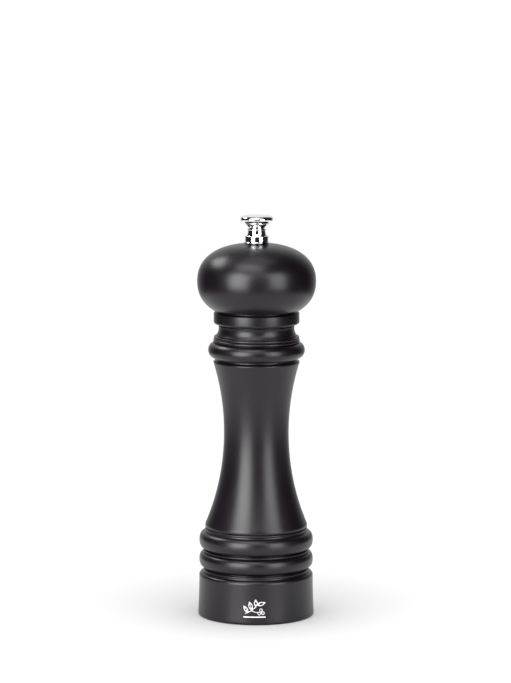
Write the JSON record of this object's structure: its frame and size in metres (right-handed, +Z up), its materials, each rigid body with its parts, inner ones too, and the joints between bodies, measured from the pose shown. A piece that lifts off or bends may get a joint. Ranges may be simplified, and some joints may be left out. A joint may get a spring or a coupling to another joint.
{
  "type": "pepper mill",
  "caption": "Turned black wooden pepper mill: waisted beaded body, globe head that turns to grind, chromed adjusting knob on top and a helical steel grinding set in its foot.",
  "frame": {"origin": "centre of the foot, on the surface the mill stands on", "axes": "+Z up along the turning axis, from the foot to the adjusting knob; -Y is the side with the printed mark"},
  "size_m": [0.053, 0.053, 0.1805],
  "materials": {
    "lacquered_wood": "satin black lacquer on turned beech",
    "chrome": "mirror chrome plate",
    "drawn_steel": "drawn, with fine lengthwise lines",
    "zinc_plated_steel": "bright zinc plate on stamped strip",
    "screw_steel": "bright plated",
    "spring_steel": "oiled dark spring wire",
    "hardened_steel": "case hardened and tumbled"
  },
  "bodies": {
    "mill_body": {"body": "lacquered_wood", "stator": "hardened_steel", "stator_casing": "zinc_plated_steel", "upper_bridge": "zinc_plated_steel", "retaining_bar": "zinc_plated_steel", "bar_screw_1": "screw_steel", "bar_screw_2": "screw_steel"},
    "turning_seat": {"thrust_washer": "drawn_steel", "spring": "spring_steel"},
    "head": {"head": "lacquered_wood", "drive_plate": "zinc_plated_steel", "plate_screw_1": "screw_steel", "plate_screw_2": "screw_steel", "knob_washer": "chrome"},
    "knob": {"adjusting_knob": "chrome"},
    "spindle": {"shaft": "drawn_steel", "rotor": "hardened_steel", "rotor_washer": "drawn_steel", "retaining_clip": "spring_steel"}
  },
  "joints": [
    {"name": "head_turn", "type": "hinge", "parent": "mill_body", "child": "turning_seat", "pos_m": [0, 0, 0.0282], "axis": [0, 0, 1], "continuous": true},
    {"name": "head_lift", "type": "slide", "parent": "turning_seat", "child": "head", "axis": [0, 0, 1], "range_m": [0, 0.055]},
    {"name": "shaft_adjust", "type": "slide", "parent": "turning_seat", "child": "spindle", "axis": [0, 0, 1], "range_m": [-0.0016, 0.0008], "deforming": ["spring"]},
    {"name": "knob_turn", "type": "hinge", "parent": "head", "child": "knob", "pos_m": [0, 0, 0.1694], "axis": [0, 0, 1], "range_deg": [-360, 720]}
  ],
  "couplings": [
    {"joint": "knob_turn", "follows": "shaft_adjust", "rad_per_m": -7854}
  ]
}
